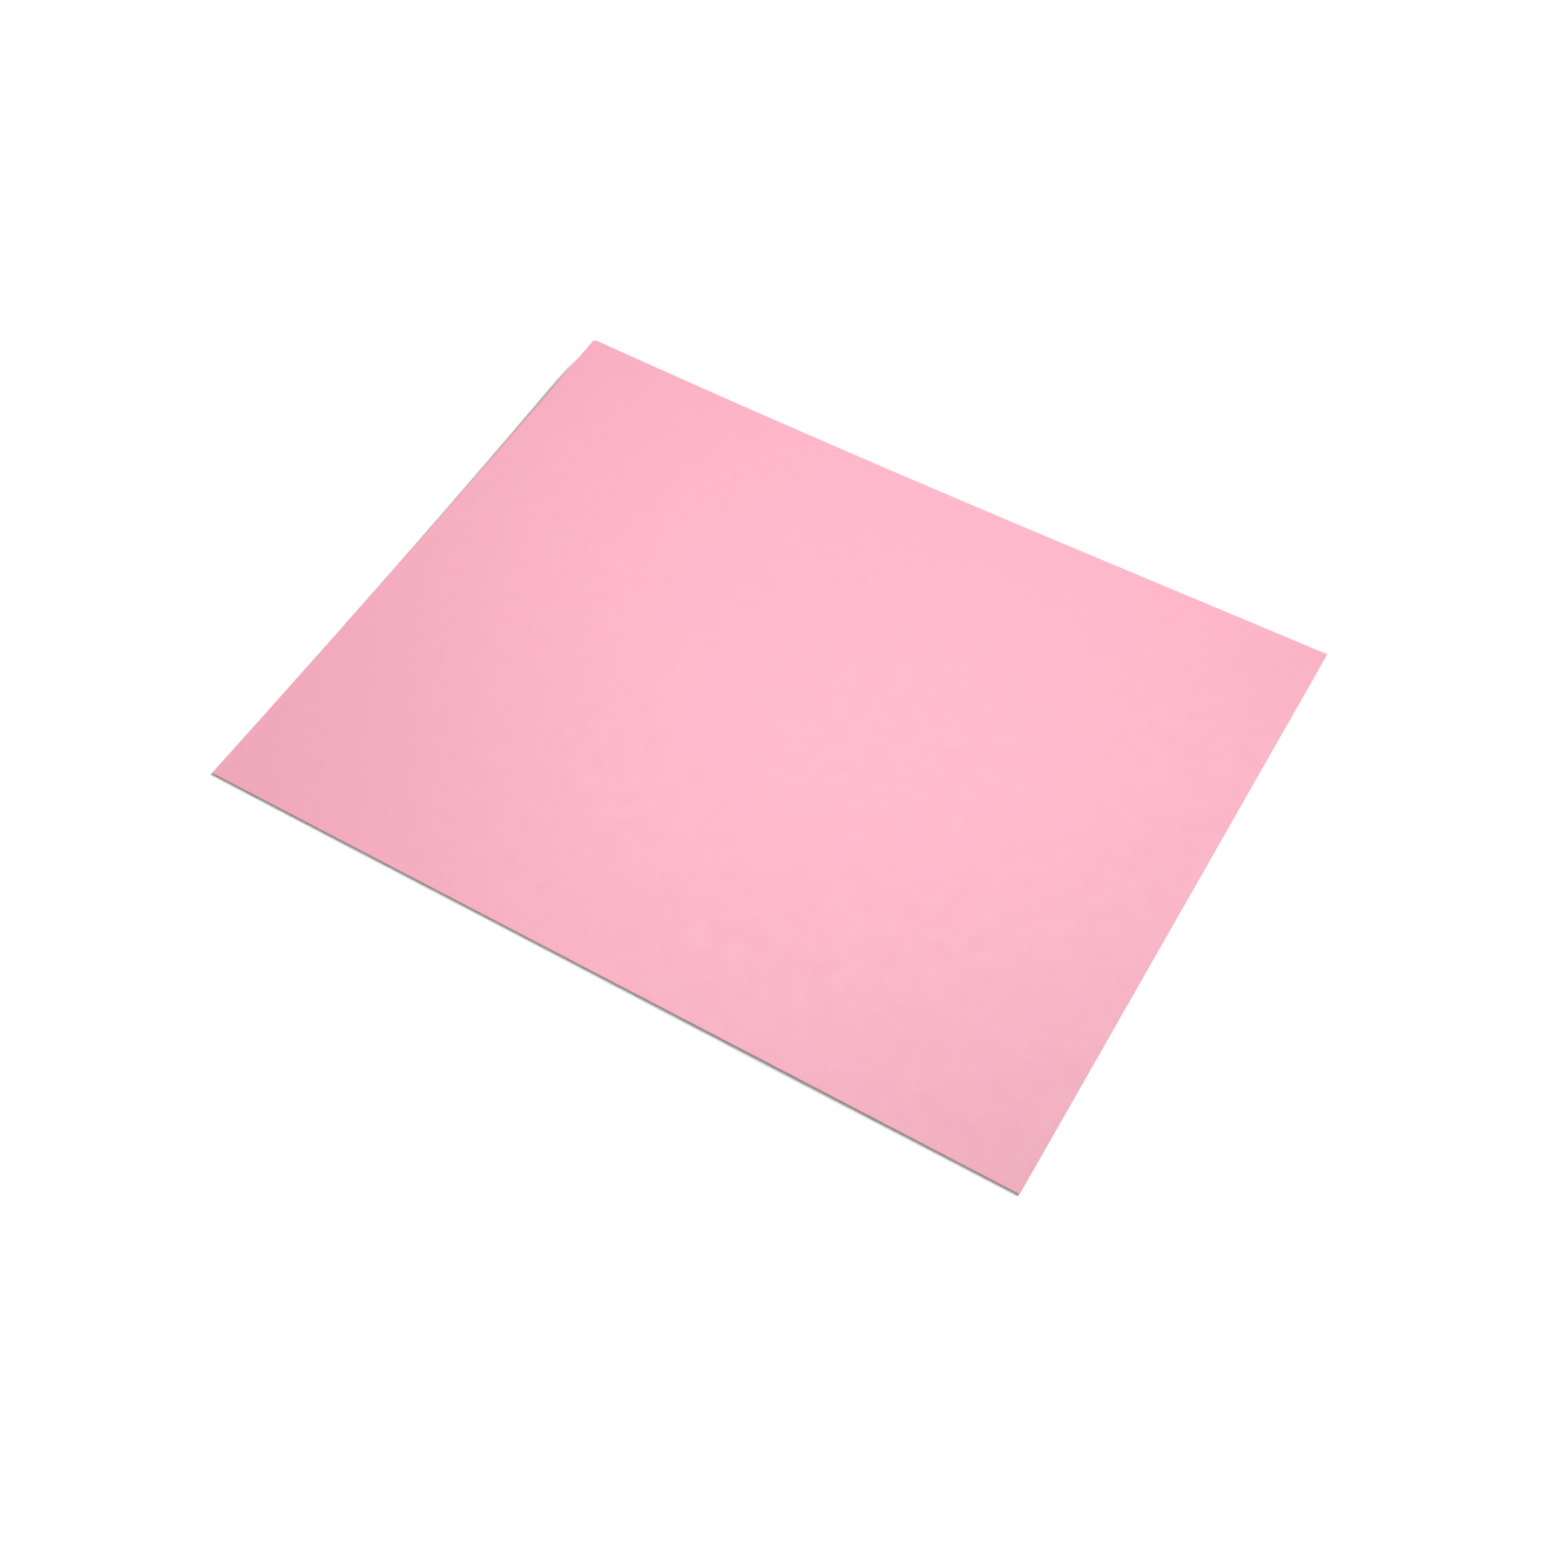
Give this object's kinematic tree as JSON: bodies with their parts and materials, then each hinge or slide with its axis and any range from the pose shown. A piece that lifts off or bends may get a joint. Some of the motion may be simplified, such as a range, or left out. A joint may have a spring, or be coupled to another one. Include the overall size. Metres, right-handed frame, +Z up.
{
  "type": "sheet of coloured craft card",
  "caption": "Plain rectangular sheet of pink dyed craft card, lying flat with one corner curling up, for cutting, folding and scoring.",
  "frame": {"origin": "middle of the sheet, on the surface it lies on", "axes": "+X along the long side, +Y along the short side, +Z up out of the sheet's face"},
  "size_m": [0.65, 0.5, 0.009],
  "materials": {
    "dyed_card": "matte"
  },
  "bodies": {
    "root": {"card_sheet": "dyed_card"}
  },
  "joints": []
}
